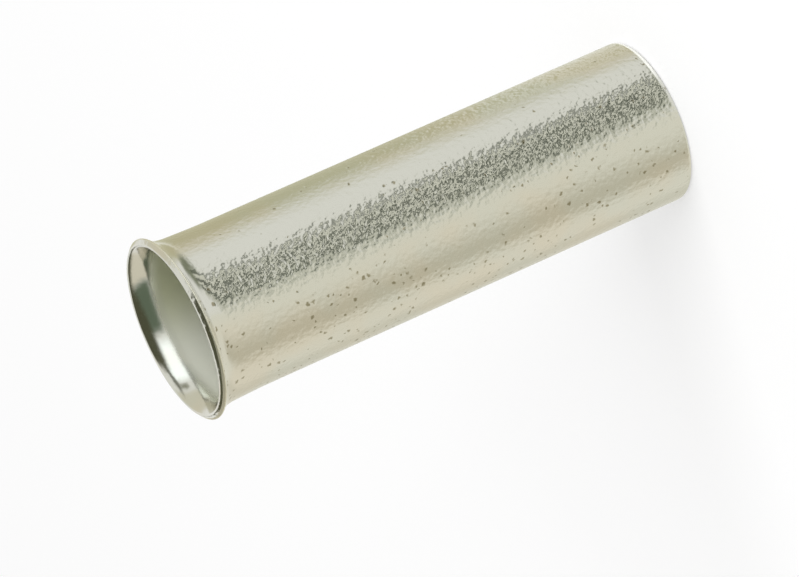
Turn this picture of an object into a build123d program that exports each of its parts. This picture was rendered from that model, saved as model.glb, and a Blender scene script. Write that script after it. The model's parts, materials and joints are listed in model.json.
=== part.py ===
"""Uninsulated wire end sleeve with a flared mouth, in millimetres.

The sleeve is one piece of thin seamless tube, cut square at one end and belled out at the other.
It stands on its plain end: the origin is the centre of that end's face, and +Z runs along the
axis to the mouth, where the stripped strands of a conductor go in.
"""
from build123d import *
import math
import os

# Sizes of the tube
sleeve_length = 10.0  # over all, from the plain end's face to the top of the lip
bore_diameter = 2.8  # clear hole for the bare strands
wall = 0.15

# Sizes of the flared mouth
flare_bend = 0.6  # radius that the outer skin bends through
flare_angle = 42.0  # degrees that the lip leans out from the axis
lip_length = 0.07  # straight stretch of the wall after the bend
lip_inner_round = 0.05  # smooth entry for the strands
lip_outer_round = 0.02

# Size of the plain end
end_round = 0.1  # outer corner, which leads the sleeve into a clamp

# What follows from those sizes
bore_radius = bore_diameter / 2
barrel_radius = bore_radius + wall
inner_bend = flare_bend + wall
lean_out = math.sin(math.radians(flare_angle))
lean_up = math.cos(math.radians(flare_angle))
corner_rise = inner_bend * lean_out + lip_length * lean_up
rounded_off = lip_inner_round * (lean_out + lean_up - 1)
flare_start = sleeve_length - corner_rise + rounded_off


def round_corner(section, corner, radius):
    """Rounds the section's vertex that lies at a corner."""
    fillet(section.vertices().sort_by_distance(corner)[0], radius)


def half_section():
    """The wall cut along the axis: bore, bell, lip, barrel and the face of the plain end."""
    with BuildSketch(Plane.XZ) as section:
        with BuildLine():
            Line((bore_radius, 0), (bore_radius, flare_start))
            inner_bell = JernArc((bore_radius, flare_start), (0, 1), inner_bend, -flare_angle)
            inner_lip = Line(inner_bell @ 1, inner_bell @ 1 + lip_length * (inner_bell % 1))
            outer_bell = JernArc((barrel_radius, flare_start), (0, 1), flare_bend, -flare_angle)
            outer_lip = Line(outer_bell @ 1, outer_bell @ 1 + lip_length * (outer_bell % 1))
            Line(inner_lip @ 1, outer_lip @ 1)
            Line((barrel_radius, flare_start), (barrel_radius, 0))
            Line((barrel_radius, 0), (bore_radius, 0))
        make_face()
        round_corner(section, inner_lip @ 1, lip_inner_round)
        round_corner(section, outer_lip @ 1, lip_outer_round)
        round_corner(section, (barrel_radius, 0), end_round)
    return section.sketch


def sleeve():
    """The whole wall, turned once around the axis."""
    return revolve(half_section(), axis=Axis.Z)


os.makedirs("parts", exist_ok=True)
export_step(sleeve(), "parts/sleeve.step")
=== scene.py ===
"""Builds the looks of a flared wire end sleeve round its CAD frame.

The sleeve is turned in Geometry Nodes from its wall's outline and finished as satin electroplated
tin. It stands on its plain end on a pale floor. Everything is in metres, and MM turns a size
written in millimetres into them.
"""

import json
import math

import bpy
from mathutils import Matrix, Vector


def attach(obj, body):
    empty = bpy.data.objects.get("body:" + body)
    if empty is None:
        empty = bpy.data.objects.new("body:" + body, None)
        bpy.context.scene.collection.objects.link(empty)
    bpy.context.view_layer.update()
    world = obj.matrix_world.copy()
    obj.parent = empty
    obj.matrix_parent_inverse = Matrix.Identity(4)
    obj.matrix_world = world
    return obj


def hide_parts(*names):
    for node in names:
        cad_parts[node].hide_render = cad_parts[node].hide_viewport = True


bl_info = {
    "name": "Flared Wire End Sleeve",
    "version": (1, 0, 0),
    "blender": (4, 5, 0),
    "location": "3D View > Sidebar > Wire Sleeve",
    "description": "Makes a tin-plated wire end sleeve and the stage that it stands on",
    "category": "Add Mesh",
}

MM = 0.001
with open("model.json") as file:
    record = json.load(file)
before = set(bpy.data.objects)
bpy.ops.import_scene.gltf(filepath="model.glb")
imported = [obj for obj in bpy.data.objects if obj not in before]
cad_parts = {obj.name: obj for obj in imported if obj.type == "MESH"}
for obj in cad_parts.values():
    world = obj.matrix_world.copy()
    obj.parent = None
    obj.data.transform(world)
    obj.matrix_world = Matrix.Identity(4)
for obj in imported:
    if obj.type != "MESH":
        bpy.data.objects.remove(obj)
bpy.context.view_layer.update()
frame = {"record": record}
mounts = {mount["name"]: mount for mount in frame["record"]["mounts"]}
bore = mounts["wire_bore"]["dims"]
barrel = mounts["barrel"]["dims"]

# The drawn wall. The swell's two slopes are measured down from the height where the flare starts.
WAVE_SIZE = (1.1 * MM, 1.1 * MM, 6 * MM)  # across the tube, and along it
WAVE_FADE = 1 * MM  # how far from the plain end and from the flare the waves have their full height
SWELL_RISE = (0.77 * MM, -0.28 * MM)  # its foot and its top
SWELL_FALL = (-0.4 * MM, -0.03 * MM)  # its foot and its top
SHARP_FOLD = math.radians(40)

# The plating's patterns
SMOOTHED_GRAIN = 0.12  # share of the grain that is left on the flare and in the bore
TORN_GRAIN = 0.7  # share of it on the cut at the mouth
FRAY_SIZE = 0.06 * MM  # of the noise that frays the pits' edges
FRAY_REACH = 0.07 * MM
SMALLEST_PIT = 0.4  # share of the largest pit's radius
PIT_FLOOR = 0.35  # share of a pit's radius where it is at its deepest
CLUSTER_SIZE = 1.1 * MM
PATCH_SIZE = 1.6 * MM
PLAIN_STRIP = 0.45 * MM  # where along X the strip without warm patches has its middle
BREAK_FADE = 0.2  # share of the wall over which the cut turns from smooth to rough
BORE_METAL = 0.3  # how metallic the bore's dull wall looks

# What measures each zone of the plating, the measure where the zone has faded out and the one
# where it is full, and the zone's strength in both places
ZONES = {
    "cut": ("behind_cut", 0.03 * MM, 0.008 * MM, 0.0, 1.0),
    "straight": ("height", 9.75 * MM, 9.35 * MM, 0.0, 1.0),
    "below_throat": ("height", 9.75 * MM, 9.42 * MM, 0.0, 1.0),
    "end_corner": ("height", 0.12 * MM, 0.085 * MM, 0.0, 1.0),
    # A painted shade line along the very edge of the plain end.
    "painted_edge_shade": ("height", 0.035 * MM, 0.015 * MM, 0.0, 1.0),
    # A painted highlight on the plain end's corner, on its side towards +X and the lamp.
    "highlight_side": ("side", 0.1 * MM, 0.9 * MM, 0.0, 1.0),
    # A painted reflection that tints the bore olive on its side towards +X.
    "painted_reflection_side": ("side", -0.5 * MM, 0.9 * MM, 0.0, 1.0),
    "smooth_share": ("side", -1.7 * MM, 0.2 * MM, 0.3, 0.85),
    "crowding": ("side", 0.6 * MM, -0.9 * MM, 0.2, 1.0),
    "off_strip": ("from_strip", 0.55 * MM, 0.85 * MM, 0.0, 1.0),
    "cluster": ("clusters", 0.38, 0.6, 0.15, 1.0),
    "warmth": ("patches", 0.4, 0.65, 0.0, 1.0),
}

# The stage. Two cards at one distance would hide each other, so each stands a gap nearer than
# the one before.
FLOOR_REACH = 1.5  # from the middle to an edge
FLOOR_SHADE = 0.45  # how much light the floor gives back
FLOOR_GLOW = 0.55  # what it adds for the camera, so that it is white and still takes a shadow
CARD_MIDDLE = 5 * MM  # height that the cards and the lamp are placed round
CARD_DISTANCE = 250 * MM
CARD_GAP = 11 * MM
CARD_COLUMNS = 24
CARD_ROWS = 12
SLAT_WIDTH = 16.5  # degrees from one slat to the next
SLAT_EDGE = (-0.35, 0.55)  # the wave's values where a slat starts to show and where it is full
LAMP_SIZE = (250 * MM, 130 * MM)
LAMP_POWER = 0.6  # in watts
LAMP_AIM = (40, 28)  # azimuth and elevation in degrees
VIEW_MIDDLE = 4.95 * MM  # height of the point that the camera turns about
VIEW_SHIFT = (-0.294 * MM, -1.178 * MM)  # to the camera's own right and upwards
NEAREST_SEEN = 1 * MM


def linear(colour):
    """An sRGB hex colour as linear red, green, blue and alpha."""
    parts = [int(colour[i:i + 2], 16) / 255 for i in (1, 3, 5)]
    return [p / 12.92 if p <= 0.04045 else ((p + 0.055) / 1.055) ** 2.4 for p in parts] + [1.0]


def connect(tree, node, links):
    """Links a node's inputs to sockets, or sets them to values."""
    for name, value in links.items():
        if isinstance(value, bpy.types.NodeSocket):
            tree.links.new(value, node.inputs[name])
        else:
            node.inputs[name].default_value = value


def add_node(tree, kind, settings=None, links=None):
    """A new node with its settings, and its inputs either linked to a socket or set to a value."""
    node = tree.nodes.new(kind)
    for name, value in (settings or {}).items():
        setattr(node, name, value)
    connect(tree, node, links or {})
    return node


def scale_of(size):
    """The texture scale that draws features of a size in metres, on coordinates in metres."""
    return 1 / size


class SleeveSizes(bpy.types.PropertyGroup):
    """The sleeve's sizes. Those that a mating part needs come from the frame's mounts."""

    bore_radius: bpy.props.FloatProperty(
        name="Bore Radius", description="Radius of the hole for the strands",
        default=bore["r_mm"] * MM, unit="LENGTH", precision=5)
    wall: bpy.props.FloatProperty(
        name="Wall", description="Thickness of the tube's wall",
        default=(barrel["r_mm"] - bore["r_mm"]) * MM, unit="LENGTH", precision=5)
    straight: bpy.props.FloatProperty(
        name="Straight Length", description="Height at which the flare starts",
        default=bore["length_mm"] * MM, unit="LENGTH", precision=5)
    end_round: bpy.props.FloatProperty(
        name="End Round", description="Radius of the outer corner at the plain end",
        default=(bore["length_mm"] - barrel["length_mm"]) * MM, unit="LENGTH", precision=5)
    flare_bend: bpy.props.FloatProperty(
        name="Flare Bend", description="Radius that the outer skin bends through at the mouth",
        default=0.6 * MM, unit="LENGTH", precision=5)
    flare_angle: bpy.props.FloatProperty(
        name="Flare Angle", description="How far the lip leans out from the axis",
        default=math.radians(42), subtype="ANGLE")
    lip_length: bpy.props.FloatProperty(
        name="Lip Length", description="Straight stretch of wall between the bend and the cut",
        default=0.07 * MM, unit="LENGTH", precision=5)
    lip_inner_round: bpy.props.FloatProperty(
        name="Inner Lip Round", description="Radius of the lip's inner corner",
        default=0.05 * MM, unit="LENGTH", precision=5)
    lip_outer_round: bpy.props.FloatProperty(
        name="Outer Lip Round", description="Radius of the lip's outer corner",
        default=0.02 * MM, unit="LENGTH", precision=5)
    waviness: bpy.props.FloatProperty(
        name="Waviness", description="How far the drawn wall wanders from a true cylinder",
        default=0.003 * MM, unit="LENGTH", precision=6)
    shoulder: bpy.props.FloatProperty(
        name="Shoulder", description="About how far the punch swells the outer skin before the bend",
        default=0.025 * MM, unit="LENGTH", precision=6)
    row_spacing: bpy.props.FloatProperty(
        name="Row Spacing", description="Height of a row of faces on the straight wall",
        default=0.1 * MM, unit="LENGTH", precision=5)
    segments: bpy.props.IntProperty(
        name="Segments", description="Faces round the sleeve", default=256, min=12)
    seed: bpy.props.IntProperty(
        name="Seed", description="Picks the waves of the drawn wall", default=7)


class TinFinish(bpy.types.PropertyGroup):
    """Colours and textures of the plating."""

    tin: bpy.props.StringProperty(
        name="Tin", description="Colour of the clean plating", default="#D1D1C6")
    warm_tin: bpy.props.StringProperty(
        name="Warm Tin", description="Colour where the copper warms a thinner plating",
        default="#D4CFC0")
    pit: bpy.props.StringProperty(
        name="Pit", description="Colour at the bottom of a pit", default="#97917A")
    bore: bpy.props.StringProperty(
        name="Bore", description="Colour of the bore's thin dull plating", default="#CBCCC0")
    # Painted reflection: the bore's colour on its side towards +X, olive like the surroundings that it
    # mirrors.
    painted_reflection_bore: bpy.props.StringProperty(
        name="Bore Painted Reflection", description="Colour of the bore where its plating is thinnest",
        default="#C0C3A4")
    # Painted shade: a thin dark line along the plain end's very edge.
    painted_edge_shade: bpy.props.StringProperty(
        name="Painted Edge Shade", description="Colour of the sheared line at the plain end", default="#7E7E74")
    broken_cut: bpy.props.StringProperty(
        name="Broken Cut", description="Colour of the rough outer part of the cut at the mouth",
        default="#E0DCC8")
    # Painted highlight: the pale coat on the plain end's corner towards +X.
    painted_highlight_colour: bpy.props.StringProperty(
        name="Painted Highlight", description="Colour of the rubbed corner at the plain end", default="#F6F6F0")
    roughness: bpy.props.FloatProperty(
        name="Roughness", description="How far the plating scatters a reflection",
        default=0.14, min=0, max=1)
    bore_roughness: bpy.props.FloatProperty(
        name="Bore Roughness", description="How far the bore's duller wall scatters a reflection",
        default=0.55, min=0, max=1)
    grain_size: bpy.props.FloatProperty(
        name="Grain Size", description="Width of one grain of the plating",
        default=0.048 * MM, unit="LENGTH", precision=6)
    grain_depth: bpy.props.FloatProperty(
        name="Grain Depth", description="Height of one grain of the plating",
        default=0.0104 * MM, unit="LENGTH", precision=7)
    pit_spacing: bpy.props.FloatProperty(
        name="Pit Spacing", description="Size of the cells that hold one pit each",
        default=0.14 * MM, unit="LENGTH", precision=6)
    pit_radius: bpy.props.FloatProperty(
        name="Pit Radius", description="Radius of the largest pits",
        default=0.056 * MM, unit="LENGTH", precision=6)
    pit_depth: bpy.props.FloatProperty(
        name="Pit Depth", description="Depth of the largest pits",
        default=0.003 * MM, unit="LENGTH", precision=6)


class StageSetup(bpy.types.PropertyGroup):
    """The floor, the lights and the camera."""

    floor: bpy.props.StringProperty(
        name="Floor", description="Colour of the floor", default="#FFFFFF")
    light_level: bpy.props.FloatProperty(
        name="Light Level", description="Strength of the even light all round", default=0.65, min=0)
    camera_elevation: bpy.props.FloatProperty(
        name="Camera Elevation", description="How far above the horizon the camera stands",
        default=math.radians(20.415), subtype="ANGLE")
    camera_roll: bpy.props.FloatProperty(
        name="Camera Roll", description="How far the camera is turned about its own view",
        default=math.radians(-114.108), subtype="ANGLE")
    camera_distance: bpy.props.FloatProperty(
        name="Camera Distance", description="From the sleeve's middle to the camera",
        default=121.6 * MM, unit="LENGTH")
    camera_lens: bpy.props.FloatProperty(
        name="Camera Lens", description="Focal length in millimetres", default=304.1, min=1)


def sleeve_tree():
    """The node tree that turns the wall's outline round the axis.

    The outline is drawn from the bore's wall outwards: x is the distance from the bore's wall and y
    the height above the plain end. A circle of the bore's radius then carries it round.
    """
    tree = bpy.data.node_groups.new("Flared Sleeve", "GeometryNodeTree")
    interface = tree.interface
    for name in ("Bore Radius", "Wall", "Straight Length", "End Round", "Flare Bend", "Flare Angle",
                 "Lip Length", "Inner Lip Round", "Outer Lip Round", "Waviness", "Shoulder",
                 "Row Spacing"):
        interface.new_socket(name, in_out="INPUT", socket_type="NodeSocketFloat")
    for name in ("Segments", "Seed"):
        interface.new_socket(name, in_out="INPUT", socket_type="NodeSocketInt")
    interface.new_socket("Finish", in_out="INPUT", socket_type="NodeSocketMaterial")
    interface.new_socket("Geometry", in_out="OUTPUT", socket_type="NodeSocketGeometry")
    size = tree.nodes.new("NodeGroupInput").outputs
    outline = wall_outline(tree, size)
    skin = turned_skin(tree, size, outline)
    real = add_node(tree, "GeometryNodeRealizeInstances", links={"Geometry": skin})
    finished = add_node(tree, "GeometryNodeSetMaterial",
                        links={"Geometry": real.outputs[0], "Material": size["Finish"]})
    add_node(tree, "NodeGroupOutput", links={0: finished.outputs[0]})
    return tree


def wall_outline(tree, size):
    """The closed outline of the wall's section, with its corners rounded and its straights cut
    into rows. It carries two values: whether a point is on the outer skin, and how far it lies
    behind the cut at the mouth."""
    half_angle = add_node(tree, "ShaderNodeMath", {"operation": "MULTIPLY"}, {0: size["Flare Angle"], 1: 0.5})
    half_tangent = add_node(tree, "ShaderNodeMath", {"operation": "TANGENT"}, {0: half_angle.outputs[0]})
    sine = add_node(tree, "ShaderNodeMath", {"operation": "SINE"}, {0: size["Flare Angle"]})
    cosine = add_node(tree, "ShaderNodeMath", {"operation": "COSINE"}, {0: size["Flare Angle"]})
    minus_sine = add_node(tree, "ShaderNodeMath", {"operation": "MULTIPLY"}, {0: sine.outputs[0], 1: -1.0})
    lip_way = add_node(tree, "ShaderNodeCombineXYZ", links={0: sine.outputs[0], 1: cosine.outputs[0]})
    face_way = add_node(tree, "ShaderNodeCombineXYZ",
                        links={0: cosine.outputs[0], 1: minus_sine.outputs[0]})
    inner_bend = add_node(tree, "ShaderNodeMath", {"operation": "ADD"},
                          {0: size["Flare Bend"], 1: size["Wall"]})
    inner_reach = add_node(tree, "ShaderNodeMath", {"operation": "MULTIPLY"},
                           {0: inner_bend.outputs[0], 1: half_tangent.outputs[0]})
    outer_reach = add_node(tree, "ShaderNodeMath", {"operation": "MULTIPLY"},
                           {0: size["Flare Bend"], 1: half_tangent.outputs[0]})
    lip_reach = add_node(tree, "ShaderNodeMath", {"operation": "ADD"},
                         {0: inner_reach.outputs[0], 1: size["Lip Length"]})
    inner_bell = add_node(tree, "ShaderNodeMath", {"operation": "ADD"},
                          {0: size["Straight Length"], 1: inner_reach.outputs[0]})
    outer_bell = add_node(tree, "ShaderNodeMath", {"operation": "ADD"},
                          {0: size["Straight Length"], 1: outer_reach.outputs[0]})

    inner_end = add_node(tree, "ShaderNodeCombineXYZ")
    inner_bend_corner = add_node(tree, "ShaderNodeCombineXYZ", links={1: inner_bell.outputs[0]})
    inner_lip = add_node(tree, "ShaderNodeVectorMath", {"operation": "MULTIPLY_ADD"},
                         {0: lip_way.outputs[0], 1: lip_reach.outputs[0], 2: inner_bend_corner.outputs[0]})
    outer_lip = add_node(tree, "ShaderNodeVectorMath", {"operation": "MULTIPLY_ADD"},
                         {0: face_way.outputs[0], 1: size["Wall"], 2: inner_lip.outputs[0]})
    outer_bend_corner = add_node(tree, "ShaderNodeCombineXYZ",
                                 links={0: size["Wall"], 1: outer_bell.outputs[0]})
    outer_end = add_node(tree, "ShaderNodeCombineXYZ", links={0: size["Wall"]})
    # Each corner's place, the radius that rounds it, the points on its arc, and whether it is on
    # the outer skin
    corners = (
        (inner_end.outputs[0], 0.0, 1, 0.0),
        (inner_bend_corner.outputs[0], inner_bend.outputs[0], 28, 0.0),
        (inner_lip.outputs[0], size["Inner Lip Round"], 8, 0.0),
        (outer_lip.outputs[0], size["Outer Lip Round"], 6, 1.0),
        (outer_bend_corner.outputs[0], size["Flare Bend"], 24, 1.0),
        (outer_end.outputs[0], size["End Round"], 10, 1.0),
    )

    index = add_node(tree, "GeometryNodeInputIndex").outputs[0]
    picked = []
    for kind, values in zip(("VECTOR", "FLOAT", "INT", "FLOAT"), zip(*corners)):
        pick = add_node(tree, "GeometryNodeIndexSwitch", {"data_type": kind}, {"Index": index})
        while len(pick.index_switch_items) < len(values):
            pick.index_switch_items.new()
        # The switch's first input is the index itself.
        connect(tree, pick, dict(enumerate(values, start=1)))
        picked.append(pick.outputs[0])
    place, radius, count, outside = picked

    points = add_node(tree, "GeometryNodeMeshLine", links={"Count": len(corners)})
    line = add_node(tree, "GeometryNodeMeshToCurve", links={"Mesh": points.outputs[0]})
    shaped = add_node(tree, "GeometryNodeSetPosition",
                      links={"Geometry": line.outputs[0], "Position": place})
    closed = add_node(tree, "GeometryNodeSetSplineCyclic",
                      links={"Geometry": shaped.outputs[0], "Cyclic": True})
    sided = add_node(tree, "GeometryNodeStoreNamedAttribute", {"data_type": "FLOAT", "domain": "POINT"},
                     {"Geometry": closed.outputs[0], "Name": "outside", "Value": outside})
    rounded = add_node(tree, "GeometryNodeFilletCurve", {"mode": "POLY"},
                       {"Curve": sided.outputs[0], "Count": count, "Radius": radius})

    own_place = add_node(tree, "GeometryNodeInputPosition")
    next_point = add_node(tree, "GeometryNodeOffsetPointInCurve", links={"Offset": 1})
    next_place = add_node(tree, "GeometryNodeFieldAtIndex", {"data_type": "FLOAT_VECTOR"},
                          {"Value": own_place.outputs[0], "Index": next_point.outputs["Point Index"]})
    span = add_node(tree, "ShaderNodeVectorMath", {"operation": "DISTANCE"},
                    {0: own_place.outputs[0], 1: next_place.outputs[0]})
    rows = add_node(tree, "ShaderNodeMath", {"operation": "DIVIDE"},
                    {0: span.outputs["Value"], 1: size["Row Spacing"]})
    divided = add_node(tree, "GeometryNodeSubdivideCurve",
                       links={"Curve": rounded.outputs[0], "Cuts": rows.outputs[0]})
    to_cut = add_node(tree, "ShaderNodeVectorMath", {"operation": "SUBTRACT"},
                      {0: inner_lip.outputs[0], 1: own_place.outputs[0]})
    behind = add_node(tree, "ShaderNodeVectorMath", {"operation": "DOT_PRODUCT"},
                      {0: to_cut.outputs[0], 1: lip_way.outputs[0]})
    return add_node(tree, "GeometryNodeStoreNamedAttribute", {"data_type": "FLOAT", "domain": "POINT"},
                    {"Geometry": divided.outputs[0], "Name": "behind_cut",
                     "Value": behind.outputs["Value"]}).outputs[0]


def turned_skin(tree, size, outline):
    """The outline carried round the axis. It is made to wander a little, as a drawn wall does,
    and its outer skin to swell before the bend."""
    circle = add_node(tree, "GeometryNodeCurvePrimitiveCircle",
                      links={"Resolution": size["Segments"], "Radius": size["Bore Radius"]})
    upright = add_node(tree, "GeometryNodeSetCurveNormal", {"mode": "Z_UP"},
                       {"Curve": circle.outputs["Curve"]})
    # A curve with upright normals carries the outline's y downwards, so the outline is flipped first.
    flipped = add_node(tree, "GeometryNodeTransform", links={"Geometry": outline, "Scale": (1, -1, 1)})
    skin = add_node(tree, "GeometryNodeCurveToMesh",
                    links={"Curve": upright.outputs[0], "Profile Curve": flipped.outputs[0]})

    # Drawing leaves long shallow waves along the tube. They fade out before the flare and the end.
    place = add_node(tree, "GeometryNodeInputPosition").outputs[0]
    long_waves = add_node(tree, "ShaderNodeVectorMath", {"operation": "MULTIPLY"},
                          {0: place, 1: [scale_of(length) for length in WAVE_SIZE]})
    waves = add_node(tree, "ShaderNodeTexNoise", {"noise_dimensions": "4D"},
                     {"Vector": long_waves.outputs[0], "W": size["Seed"], "Scale": 1.0, "Detail": 1.0})
    height = add_node(tree, "ShaderNodeSeparateXYZ", links={0: place}).outputs["Z"]
    above_end = add_node(tree, "ShaderNodeMapRange", {"interpolation_type": "SMOOTHSTEP"},
                         {"Value": height, "From Min": size["End Round"], "From Max": WAVE_FADE})
    to_flare = add_node(tree, "ShaderNodeMath", {"operation": "SUBTRACT"},
                        {0: size["Straight Length"], 1: height})
    below_flare = add_node(tree, "ShaderNodeMapRange", {"interpolation_type": "SMOOTHSTEP"},
                           {"Value": to_flare.outputs[0], "From Min": 0.0, "From Max": WAVE_FADE})
    share = add_node(tree, "ShaderNodeMath", {"operation": "MULTIPLY"},
                     {0: above_end.outputs["Result"], 1: below_flare.outputs["Result"]})
    wander = add_node(tree, "ShaderNodeMapRange", links={
        "Value": waves.outputs["Fac"], "To Min": -1.0, "To Max": 1.0})
    reach = add_node(tree, "ShaderNodeMath", {"operation": "MULTIPLY"},
                     {0: wander.outputs["Result"], 1: size["Waviness"]})
    reach = add_node(tree, "ShaderNodeMath", {"operation": "MULTIPLY"},
                     {0: reach.outputs[0], 1: share.outputs[0]})
    # The punch that flares the mouth swells the outer skin a little before the bend.
    outer_skin = add_node(tree, "GeometryNodeInputNamedAttribute", {"data_type": "FLOAT"},
                          {"Name": "outside"}).outputs["Attribute"]
    rise = add_node(tree, "ShaderNodeMapRange", {"interpolation_type": "SMOOTHSTEP"}, {
        "Value": to_flare.outputs[0], "From Min": SWELL_RISE[0], "From Max": SWELL_RISE[1]})
    fall = add_node(tree, "ShaderNodeMapRange", {"interpolation_type": "SMOOTHSTEP"}, {
        "Value": to_flare.outputs[0], "From Min": SWELL_FALL[0], "From Max": SWELL_FALL[1]})
    shoulder = add_node(tree, "ShaderNodeMath", {"operation": "MULTIPLY"},
                        {0: rise.outputs["Result"], 1: fall.outputs["Result"]})
    shoulder = add_node(tree, "ShaderNodeMath", {"operation": "MULTIPLY"},
                        {0: shoulder.outputs[0], 1: outer_skin})
    reach = add_node(tree, "ShaderNodeMath", {"operation": "MULTIPLY_ADD"},
                     {0: shoulder.outputs[0], 1: size["Shoulder"], 2: reach.outputs[0]})
    outwards = add_node(tree, "ShaderNodeVectorMath", {"operation": "MULTIPLY"}, {0: place, 1: (1, 1, 0)})
    outwards = add_node(tree, "ShaderNodeVectorMath", {"operation": "NORMALIZE"},
                        {0: outwards.outputs[0]})
    offset = add_node(tree, "ShaderNodeVectorMath", {"operation": "SCALE"},
                      {0: outwards.outputs[0], "Scale": reach.outputs[0]})
    drawn = add_node(tree, "GeometryNodeSetPosition",
                     links={"Geometry": skin.outputs[0], "Offset": offset.outputs[0]})

    smooth = add_node(tree, "GeometryNodeSetShadeSmooth", {"domain": "FACE"},
                      {"Geometry": drawn.outputs[0], "Shade Smooth": True})
    fold = add_node(tree, "GeometryNodeInputMeshEdgeAngle").outputs["Unsigned Angle"]
    sharp = add_node(tree, "ShaderNodeMath", {"operation": "GREATER_THAN"},
                     {0: fold, 1: SHARP_FOLD})
    return add_node(tree, "GeometryNodeSetShadeSmooth", {"domain": "EDGE"},
                    {"Geometry": smooth.outputs[0], "Selection": sharp.outputs[0],
                     "Shade Smooth": False}).outputs[0]


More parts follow.
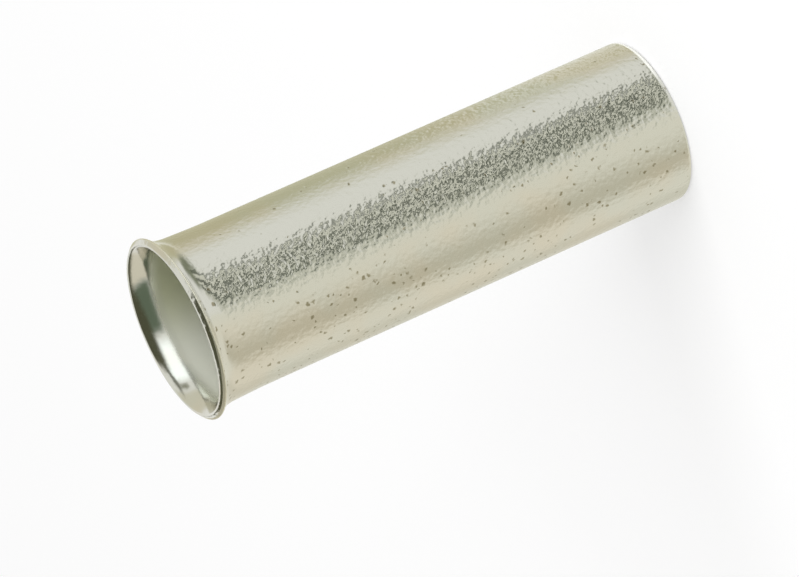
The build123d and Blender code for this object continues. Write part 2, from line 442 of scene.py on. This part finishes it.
def tin_material(finish):
    """Electroplated tin over drawn copper: a soft pale mirror. The plating's pebbly grain shows where it
    mirrors something dark, and it has pits, a warm tone where it is thin, a smoother flare where the punch
    wiped it, a sheared cut at the mouth and a dull bore. Painted light is in its colour too: a painted
    highlight on the plain end's corner towards +X, a painted shade line at that end's very edge, and a
    painted reflection that turns the bore olive towards +X."""
    material = bpy.data.materials.new("electroplated_tin")
    material.use_nodes = True
    tree = material.node_tree
    tree.nodes.clear()
    place = add_node(tree, "ShaderNodeTexCoord").outputs["Object"]
    split = add_node(tree, "ShaderNodeSeparateXYZ", links={0: place})
    outside = add_node(tree, "ShaderNodeAttribute", {"attribute_name": "outside"}).outputs["Fac"]
    behind_cut = add_node(tree, "ShaderNodeAttribute", {"attribute_name": "behind_cut"}).outputs["Fac"]
    from_strip = add_node(tree, "ShaderNodeMath", {"operation": "SUBTRACT"},
                          {0: split.outputs["X"], 1: PLAIN_STRIP})
    from_strip = add_node(tree, "ShaderNodeMath", {"operation": "ABSOLUTE"}, {0: from_strip.outputs[0]})
    clusters = add_node(tree, "ShaderNodeTexNoise", links={
        "Vector": place, "Scale": scale_of(CLUSTER_SIZE), "Detail": 1.0})
    patches = add_node(tree, "ShaderNodeTexNoise", links={
        "Vector": place, "Scale": scale_of(PATCH_SIZE), "Detail": 2.0, "Roughness": 0.55})
    measures = {
        "side": split.outputs["X"],
        "height": split.outputs["Z"],
        "behind_cut": behind_cut,
        "from_strip": from_strip.outputs[0],
        "clusters": clusters.outputs["Fac"],
        "patches": patches.outputs["Fac"],
    }
    zone = {"outside": outside}
    for name, (measure, faded, full, least, most) in ZONES.items():
        mask = add_node(tree, "ShaderNodeMapRange", {"interpolation_type": "SMOOTHSTEP"}, {
            "Value": measures[measure], "From Min": faded, "From Max": full,
            "To Min": least, "To Max": most})
        zone[name] = mask.outputs["Result"]

    # A shear leaves the cut smooth on its inner side and breaks it off rough on its outer side.
    past_smooth = add_node(tree, "ShaderNodeMath", {"operation": "SUBTRACT"},
                           {0: outside, 1: zone["smooth_share"]})
    zone["broken"] = add_node(tree, "ShaderNodeMapRange", {"interpolation_type": "SMOOTHSTEP"}, {
        "Value": past_smooth.outputs[0], "From Min": 0.0, "From Max": BREAK_FADE}).outputs["Result"]
    zone["inside"] = add_node(tree, "ShaderNodeMath", {"operation": "SUBTRACT"},
                              {0: 1.0, 1: outside}).outputs[0]
    # Pits gather in clusters, and most of them are on the side towards -X. The warm patches keep
    # off a strip along the front and the back.
    for name, first, second in (("fracture", "cut", "broken"), ("bore", "inside", "below_throat"),
                                ("barrel", "outside", "straight"), ("painted_highlight", "end_corner", "highlight_side"),
                                ("pitted", "cluster", "crowding"), ("warm", "warmth", "off_strip")):
        both = add_node(tree, "ShaderNodeMath", {"operation": "MULTIPLY"}, {0: zone[first], 1: zone[second]})
        zone[name] = both.outputs[0]

    # Real tin has a finer grain too. This is as fine as the render can show, and a noise as wide
    # as two grains has one rise and one dip.
    grain = add_node(tree, "ShaderNodeTexNoise", links={
        "Vector": place, "Scale": scale_of(2 * finish.grain_size), "Detail": 1.0, "Roughness": 0.4})
    grain_share = add_node(tree, "ShaderNodeMapRange", links={
        "Value": zone["barrel"], "To Min": SMOOTHED_GRAIN, "To Max": 1.0})
    torn = add_node(tree, "ShaderNodeMath", {"operation": "MULTIPLY"}, {0: zone["cut"], 1: TORN_GRAIN})
    grain_share = add_node(tree, "ShaderNodeMath", {"operation": "MAXIMUM"},
                           {0: grain_share.outputs["Result"], 1: torn.outputs[0]})
    grain_height = add_node(tree, "ShaderNodeMath", {"operation": "MULTIPLY"},
                            {0: grain.outputs["Fac"], 1: finish.grain_depth})
    grain_height = add_node(tree, "ShaderNodeMath", {"operation": "MULTIPLY"},
                            {0: grain_height.outputs[0], 1: grain_share.outputs[0]})

    # A fine noise pushes the coordinates about, so that no pit is round.
    ragged = add_node(tree, "ShaderNodeTexNoise", links={
        "Vector": place, "Scale": scale_of(FRAY_SIZE), "Detail": 0.0})
    pushed = add_node(tree, "ShaderNodeVectorMath", {"operation": "MULTIPLY_ADD"},
                      {0: ragged.outputs["Color"], 1: (FRAY_REACH, FRAY_REACH, FRAY_REACH), 2: place})
    cells = add_node(tree, "ShaderNodeTexVoronoi", links={
        "Vector": pushed.outputs[0], "Scale": scale_of(finish.pit_spacing), "Randomness": 1.0})
    cell_draw = add_node(tree, "ShaderNodeSeparateColor", links={0: cells.outputs["Color"]})
    to_pit = add_node(tree, "ShaderNodeMath", {"operation": "MULTIPLY"},
                      {0: cells.outputs["Distance"], 1: finish.pit_spacing})
    reach = add_node(tree, "ShaderNodeMapRange", links={
        "Value": cell_draw.outputs["Green"], "To Min": SMALLEST_PIT * finish.pit_radius,
        "To Max": finish.pit_radius})
    part_way = add_node(tree, "ShaderNodeMath", {"operation": "DIVIDE"},
                        {0: to_pit.outputs[0], 1: reach.outputs["Result"]})
    pit = add_node(tree, "ShaderNodeMapRange", {"interpolation_type": "SMOOTHSTEP"}, {
        "Value": part_way.outputs[0], "From Min": 1.0, "From Max": PIT_FLOOR}).outputs["Result"]
    drawn = add_node(tree, "ShaderNodeMath", {"operation": "LESS_THAN"},
                     {0: cell_draw.outputs["Red"], 1: zone["pitted"]})
    for share in (drawn.outputs[0], outside):
        pit = add_node(tree, "ShaderNodeMath", {"operation": "MULTIPLY"}, {0: pit, 1: share}).outputs[0]
    pit_height = add_node(tree, "ShaderNodeMath", {"operation": "MULTIPLY"},
                          {0: pit, 1: -finish.pit_depth})
    relief = add_node(tree, "ShaderNodeMath", {"operation": "ADD"},
                      {0: grain_height.outputs[0], 1: pit_height.outputs[0]})
    bump = add_node(tree, "ShaderNodeBump", links={
        "Height": relief.outputs[0], "Distance": 1.0, "Strength": 1.0})

    # Painted reflection: the bore turns olive towards +X.
    bore_with_painted_reflection = add_node(tree, "ShaderNodeMix", {"data_type": "RGBA"}, {
        "Factor": zone["painted_reflection_side"], "A": linear(finish.bore), "B": linear(finish.painted_reflection_bore)})
    colour = linear(finish.tin)
    # The plain end's pale corner is a painted highlight, and its dark edge line is painted shade.
    for share, coat in ((zone["warm"], linear(finish.warm_tin)), (pit, linear(finish.pit)),
                        (zone["painted_highlight"], linear(finish.painted_highlight_colour)), (zone["painted_edge_shade"], linear(finish.painted_edge_shade)),
                        (zone["fracture"], linear(finish.broken_cut)),
                        (zone["bore"], bore_with_painted_reflection.outputs["Result"])):
        colour = add_node(tree, "ShaderNodeMix", {"data_type": "RGBA"}, {
            "Factor": share, "A": colour, "B": coat}).outputs["Result"]

    dull = zone["bore"]
    for share in (zone["painted_highlight"], zone["fracture"]):
        dull = add_node(tree, "ShaderNodeMath", {"operation": "MAXIMUM"}, {0: dull, 1: share}).outputs[0]
    roughness = add_node(tree, "ShaderNodeMapRange", links={
        "Value": dull, "To Min": finish.roughness, "To Max": finish.bore_roughness})
    bore_metal = add_node(tree, "ShaderNodeMapRange", links={
        "Value": zone["bore"], "To Min": 1.0, "To Max": BORE_METAL})
    # The painted highlight is dull and not metallic, so it stays pale.
    beside_highlight = add_node(tree, "ShaderNodeMath", {"operation": "SUBTRACT"}, {0: 1.0, 1: zone["painted_highlight"]})
    metal = add_node(tree, "ShaderNodeMath", {"operation": "MULTIPLY"},
                     {0: bore_metal.outputs["Result"], 1: beside_highlight.outputs[0]})
    shader = add_node(tree, "ShaderNodeBsdfPrincipled", links={
        "Base Color": colour, "Metallic": metal.outputs[0], "Roughness": roughness.outputs["Result"],
        "Normal": bump.outputs[0]})
    add_node(tree, "ShaderNodeOutputMaterial", links={"Surface": shader.outputs[0]})
    return material


def set_inputs(modifier, values):
    """Sets the named inputs of a nodes modifier by their sockets' identifiers."""
    for item in modifier.node_group.interface.items_tree:
        if item.in_out == "INPUT" and item.name in values:
            modifier[item.identifier] = values[item.name]


class FERRULE_OT_add_sleeve(bpy.types.Operator):
    """Adds the sleeve, with its plating, in place of its plain solid"""

    bl_idname = "ferrule.add_sleeve"
    bl_label = "Add Sleeve"

    def execute(self, context):
        sizes = context.scene.sleeve_sizes
        holder = bpy.data.objects.new("sleeve_outline", bpy.data.meshes.new("sleeve_outline"))
        context.scene.collection.objects.link(holder)
        modifier = holder.modifiers.new("Flared Sleeve", "NODES")
        modifier.node_group = sleeve_tree()
        set_inputs(modifier, {
            "Bore Radius": sizes.bore_radius,
            "Wall": sizes.wall,
            "Straight Length": sizes.straight,
            "End Round": sizes.end_round,
            "Flare Bend": sizes.flare_bend,
            "Flare Angle": sizes.flare_angle,
            "Lip Length": sizes.lip_length,
            "Inner Lip Round": sizes.lip_inner_round,
            "Outer Lip Round": sizes.lip_outer_round,
            "Waviness": sizes.waviness,
            "Shoulder": sizes.shoulder,
            "Row Spacing": sizes.row_spacing,
            "Segments": sizes.segments,
            "Seed": sizes.seed,
            "Finish": tin_material(context.scene.tin_finish),
        })
        graph = context.evaluated_depsgraph_get()
        mesh = bpy.data.meshes.new_from_object(holder.evaluated_get(graph))
        if not mesh.polygons:
            raise RuntimeError("the sleeve's node tree made no faces")
        bpy.data.objects.remove(holder)
        mesh.name = "sleeve_skin"
        skin = bpy.data.objects.new("sleeve_skin", mesh)
        context.scene.collection.objects.link(skin)
        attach(skin, "root")
        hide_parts("sleeve")
        return {"FINISHED"}


def white_for_rays(tree):
    """One for the rays that show a background: those from the camera, and those that metal and
    glass send on."""
    rays = add_node(tree, "ShaderNodeLightPath").outputs
    mirrored = add_node(tree, "ShaderNodeMath", {"operation": "ADD", "use_clamp": True},
                        {0: rays["Is Camera Ray"], 1: rays["Is Glossy Ray"]})
    return add_node(tree, "ShaderNodeMath", {"operation": "ADD", "use_clamp": True},
                    {0: mirrored.outputs[0], 1: rays["Is Transmission Ray"]}).outputs[0]


def add_floor(stage):
    """A plain pale floor under the plain end, large enough to fill any view."""
    mesh = bpy.data.meshes.new("floor")
    corners = [(x * FLOOR_REACH, y * FLOOR_REACH, 0) for x, y in ((-1, -1), (1, -1), (1, 1), (-1, 1))]
    mesh.from_pydata(corners, [], [(0, 1, 2, 3)])
    floor = bpy.data.objects.new("floor", mesh)
    bpy.context.scene.collection.objects.link(floor)
    material = bpy.data.materials.new("white_floor")
    material.use_nodes = True
    tree = material.node_tree
    tree.nodes.clear()
    lit = add_node(tree, "ShaderNodeBsdfDiffuse",
                   links={"Color": [FLOOR_SHADE, FLOOR_SHADE, FLOOR_SHADE, 1]})
    glow_level = add_node(tree, "ShaderNodeMath", {"operation": "MULTIPLY"},
                          {0: white_for_rays(tree), 1: FLOOR_GLOW})
    glow = add_node(tree, "ShaderNodeEmission", links={
        "Color": linear(stage.floor), "Strength": glow_level.outputs[0]})
    both = add_node(tree, "ShaderNodeAddShader", links={0: lit.outputs[0], 1: glow.outputs[0]})
    add_node(tree, "ShaderNodeOutputMaterial", links={"Surface": both.outputs[0]})
    mesh.materials.append(material)
    floor.visible_glossy = False


def add_world(stage):
    """Even white light all round."""
    world = bpy.data.worlds.new("studio")
    world.use_nodes = True
    tree = world.node_tree
    tree.nodes.clear()
    white = white_for_rays(tree)
    strength = add_node(tree, "ShaderNodeMapRange", links={
        "Value": white, "To Min": stage.light_level, "To Max": 1.0})
    glow = add_node(tree, "ShaderNodeBackground", links={
        "Color": [1, 1, 1, 1], "Strength": strength.outputs["Result"]})
    add_node(tree, "ShaderNodeOutputWorld", links={"Surface": glow.outputs[0]})
    bpy.context.scene.world = world


def aim(azimuth, elevation):
    """The direction at an azimuth round the sleeve and an elevation, both in degrees. Azimuth 0
    is towards the camera's side, and 90 is +X."""
    around, up = math.radians(azimuth), math.radians(elevation)
    return Vector((math.sin(around) * math.cos(up), -math.cos(around) * math.cos(up), math.sin(up)))


def add_card(distance, name, azimuth, elevation, fade, colour, slats=None, level=1.0, sweep=0.0):
    """A curved card that only metal mirrors, so that it has something darker or brighter than the
    white room. It spans a range of azimuths and elevations, in degrees, and sweep is how far its
    top is shifted round. fade gives the width of its soft edges: left, right, bottom and top.
    A card with slats has upright stripes of a second colour: the plating's grain breaks their
    mirror image up into flecks."""
    across = azimuth[1] - azimuth[0]
    upwards = elevation[1] - elevation[0]
    points, spots = [], []
    for row in range(CARD_ROWS + 1):
        for column in range(CARD_COLUMNS + 1):
            spot = (column / CARD_COLUMNS, row / CARD_ROWS)
            way = aim(azimuth[0] + across * spot[0] + sweep * spot[1], elevation[0] + upwards * spot[1])
            points.append(Vector((0, 0, CARD_MIDDLE)) + way * distance)
            spots.append(spot)
    width = CARD_COLUMNS + 1
    faces = [(i, i + 1, i + 1 + width, i + width)
             for row in range(CARD_ROWS) for i in range(row * width, row * width + CARD_COLUMNS)]
    mesh = bpy.data.meshes.new(name)
    mesh.from_pydata(points, [], faces)
    layer = mesh.uv_layers.new(name="spread")
    for loop in mesh.loops:
        layer.data[loop.index].uv = spots[loop.vertex_index]
    soft = (fade[0] / across, fade[1] / across, fade[2] / upwards, fade[3] / upwards)
    stripes = across / SLAT_WIDTH
    mesh.materials.append(card_material(name, colour, slats or colour, stripes, level, soft))
    card = bpy.data.objects.new(name, mesh)
    bpy.context.scene.collection.objects.link(card)
    card.visible_camera = False
    card.visible_diffuse = False
    card.visible_shadow = False
    card.visible_transmission = False


def card_material(name, colour, slats, stripes, level, soft):
    """A glowing card whose edges fade into what stands behind it."""
    material = bpy.data.materials.new(name)
    material.use_nodes = True
    tree = material.node_tree
    tree.nodes.clear()
    spread = add_node(tree, "ShaderNodeUVMap", {"uv_map": "spread"}).outputs[0]
    sides = add_node(tree, "ShaderNodeSeparateXYZ", links={0: spread})
    cover = 1.0
    for axis, edge, inner in (("X", 0.0, soft[0]), ("X", 1.0, 1 - soft[1]),
                              ("Y", 0.0, soft[2]), ("Y", 1.0, 1 - soft[3])):
        fall = add_node(tree, "ShaderNodeMapRange", {"interpolation_type": "SMOOTHSTEP"}, {
            "Value": sides.outputs[axis], "From Min": edge, "From Max": inner})
        cover = add_node(tree, "ShaderNodeMath", {"operation": "MULTIPLY"},
                         {0: fall.outputs["Result"], 1: cover}).outputs[0]
    clear = add_node(tree, "ShaderNodeBsdfTransparent")
    turns = add_node(tree, "ShaderNodeMath", {"operation": "MULTIPLY"},
                     {0: sides.outputs["X"], 1: 2 * math.pi * stripes})
    wave = add_node(tree, "ShaderNodeMath", {"operation": "SINE"}, {0: turns.outputs[0]})
    slat = add_node(tree, "ShaderNodeMapRange", {"interpolation_type": "SMOOTHSTEP"}, {
        "Value": wave.outputs[0], "From Min": SLAT_EDGE[0], "From Max": SLAT_EDGE[1]})
    shade = add_node(tree, "ShaderNodeMix", {"data_type": "RGBA"}, {
        "Factor": slat.outputs["Result"], "A": linear(colour), "B": linear(slats)})
    glow = add_node(tree, "ShaderNodeEmission", links={"Color": shade.outputs["Result"], "Strength": level})
    mix = add_node(tree, "ShaderNodeMixShader", links={0: cover, 1: clear.outputs[0], 2: glow.outputs[0]})
    add_node(tree, "ShaderNodeOutputMaterial", links={"Surface": mix.outputs[0]})
    return material


def add_cards():
    """The cards round the sleeve, the furthest first. The outer skin mirrors those below the
    horizon, and the inside of the flare those above it."""
    cards = [
        dict(name="cream_side", azimuth=(-175, 8), elevation=(-88, 2), fade=(15, 20, 5, 10),
             colour="#FBF9F0"),
        dict(name="olive_side", azimuth=(76, 178), elevation=(-55, 6), fade=(55, 10, 12, 8),
             colour="#D0CEB3"),
        dict(name="low_side", azimuth=(-178, -112), elevation=(-50, 4), fade=(10, 30, 12, 8),
             colour="#E6E4D8"),
        dict(name="dim_side", azimuth=(-98, -22), elevation=(-60, 10), fade=(30, 50, 12, 8),
             colour="#DAD6C7"),
        dict(name="dark_sweep", azimuth=(44, 134), elevation=(-70, -26), fade=(22, 22, 16, 14),
             colour="#8F9482", sweep=-20),
        dict(name="cream_wall", azimuth=(-155, -84), elevation=(2, 50), fade=(12, 14, 4, 8),
             colour="#EFE9DC"),
        dict(name="beige_side", azimuth=(92, 150), elevation=(2, 56), fade=(12, 12, 4, 10),
             colour="#E8E5D8"),
        dict(name="green_wall", azimuth=(-100, 2), elevation=(3, 70), fade=(18, 18, 14, 6),
             colour="#6D7A6A"),
        dict(name="dark_gap", azimuth=(77, 94), elevation=(17, 41), fade=(8, 8, 8, 8),
             colour="#8B8B78"),
        dict(name="softbox", azimuth=(-4, 82), elevation=(-8, 52), fade=(24, 16, 20, 8),
             colour="#F3F9FF", level=1.75),
        dict(name="dark_slant", azimuth=(86, 118), elevation=(35, 66), fade=(11, 11, 5, 4),
             colour="#5A5B49", sweep=-94),
        dict(name="grey_border", azimuth=(22, 62), elevation=(-50, -8), fade=(22, 12, 6, 8),
             colour="#C4C6B8", sweep=-50),
        dict(name="dark_strip", azimuth=(36, 94), elevation=(-50, -8), fade=(12, 19, 6, 8),
             colour="#3D473B", slats="#FFFFF6", sweep=-50),
        dict(name="dark_corner", azimuth=(-190, -145), elevation=(14, 70), fade=(10, 9, 6, 8),
             colour="#5A5B49", sweep=94),
        dict(name="dark_top", azimuth=(-125, 70), elevation=(38, 86), fade=(25, 30, 14, 3),
             colour="#5A5B49"),
        dict(name="pale_low", azimuth=(98, 178), elevation=(-29, -20.5), fade=(18, 10, 3, 5.5),
             colour="#F4F4E9"),
    ]
    for number, card in enumerate(cards):
        add_card(CARD_DISTANCE - number * CARD_GAP, **card)


def add_lamp():
    """A large soft lamp behind the softbox card. Metal mirrors the card in its place."""
    data = bpy.data.lights.new("soft_lamp", "AREA")
    data.shape = "RECTANGLE"
    data.size, data.size_y = LAMP_SIZE
    data.energy = LAMP_POWER
    lamp = bpy.data.objects.new("soft_lamp", data)
    bpy.context.scene.collection.objects.link(lamp)
    way = aim(*LAMP_AIM)
    turn = way.to_track_quat("Z", "Y").to_matrix().to_4x4()
    lamp.matrix_world = Matrix.Translation(way * CARD_DISTANCE + Vector((0, 0, CARD_MIDDLE))) @ turn
    lamp.visible_glossy = False


def add_camera(stage):
    """The camera at the photograph's angle, rolled so that the sleeve slants across the picture."""
    data = bpy.data.cameras.new("camera")
    data.lens = stage.camera_lens
    data.clip_start = NEAREST_SEEN
    camera = bpy.data.objects.new("camera", data)
    bpy.context.scene.collection.objects.link(camera)
    turn = (Matrix.Rotation(math.pi / 2 - stage.camera_elevation, 4, "X")
            @ Matrix.Rotation(stage.camera_roll, 4, "Z"))
    middle = Vector((0, 0, VIEW_MIDDLE))
    offset = Vector((*VIEW_SHIFT, stage.camera_distance))
    camera.matrix_world = Matrix.Translation(middle + turn @ offset) @ turn
    bpy.context.scene.camera = camera


class FERRULE_OT_set_stage(bpy.types.Operator):
    """Sets the floor, the light and the camera"""

    bl_idname = "ferrule.set_stage"
    bl_label = "Set Stage"

    def execute(self, context):
        stage = context.scene.ferrule_stage
        add_floor(stage)
        add_world(stage)
        add_cards()
        add_lamp()
        add_camera(stage)
        context.scene.view_settings.view_transform = "Standard"
        return {"FINISHED"}


class FERRULE_PT_panel(bpy.types.Panel):
    """The sidebar's list of what this file makes"""

    bl_label = "Wire Sleeve"
    bl_space_type = "VIEW_3D"
    bl_region_type = "UI"
    bl_category = "Wire Sleeve"

    def draw(self, context):
        layout = self.layout
        layout.operator(FERRULE_OT_add_sleeve.bl_idname)
        layout.operator(FERRULE_OT_set_stage.bl_idname)


classes = (SleeveSizes, TinFinish, StageSetup, FERRULE_OT_add_sleeve, FERRULE_OT_set_stage,
           FERRULE_PT_panel)


def register():
    for cls in classes:
        bpy.utils.register_class(cls)
    bpy.types.Scene.sleeve_sizes = bpy.props.PointerProperty(type=SleeveSizes)
    bpy.types.Scene.tin_finish = bpy.props.PointerProperty(type=TinFinish)
    bpy.types.Scene.ferrule_stage = bpy.props.PointerProperty(type=StageSetup)


def unregister():
    for name in ("ferrule_stage", "tin_finish", "sleeve_sizes"):
        delattr(bpy.types.Scene, name)
    for cls in reversed(classes):
        bpy.utils.unregister_class(cls)


def main():
    register()
    bpy.ops.ferrule.add_sleeve()
    bpy.ops.ferrule.set_stage()


if __name__ == "__main__":
    main()
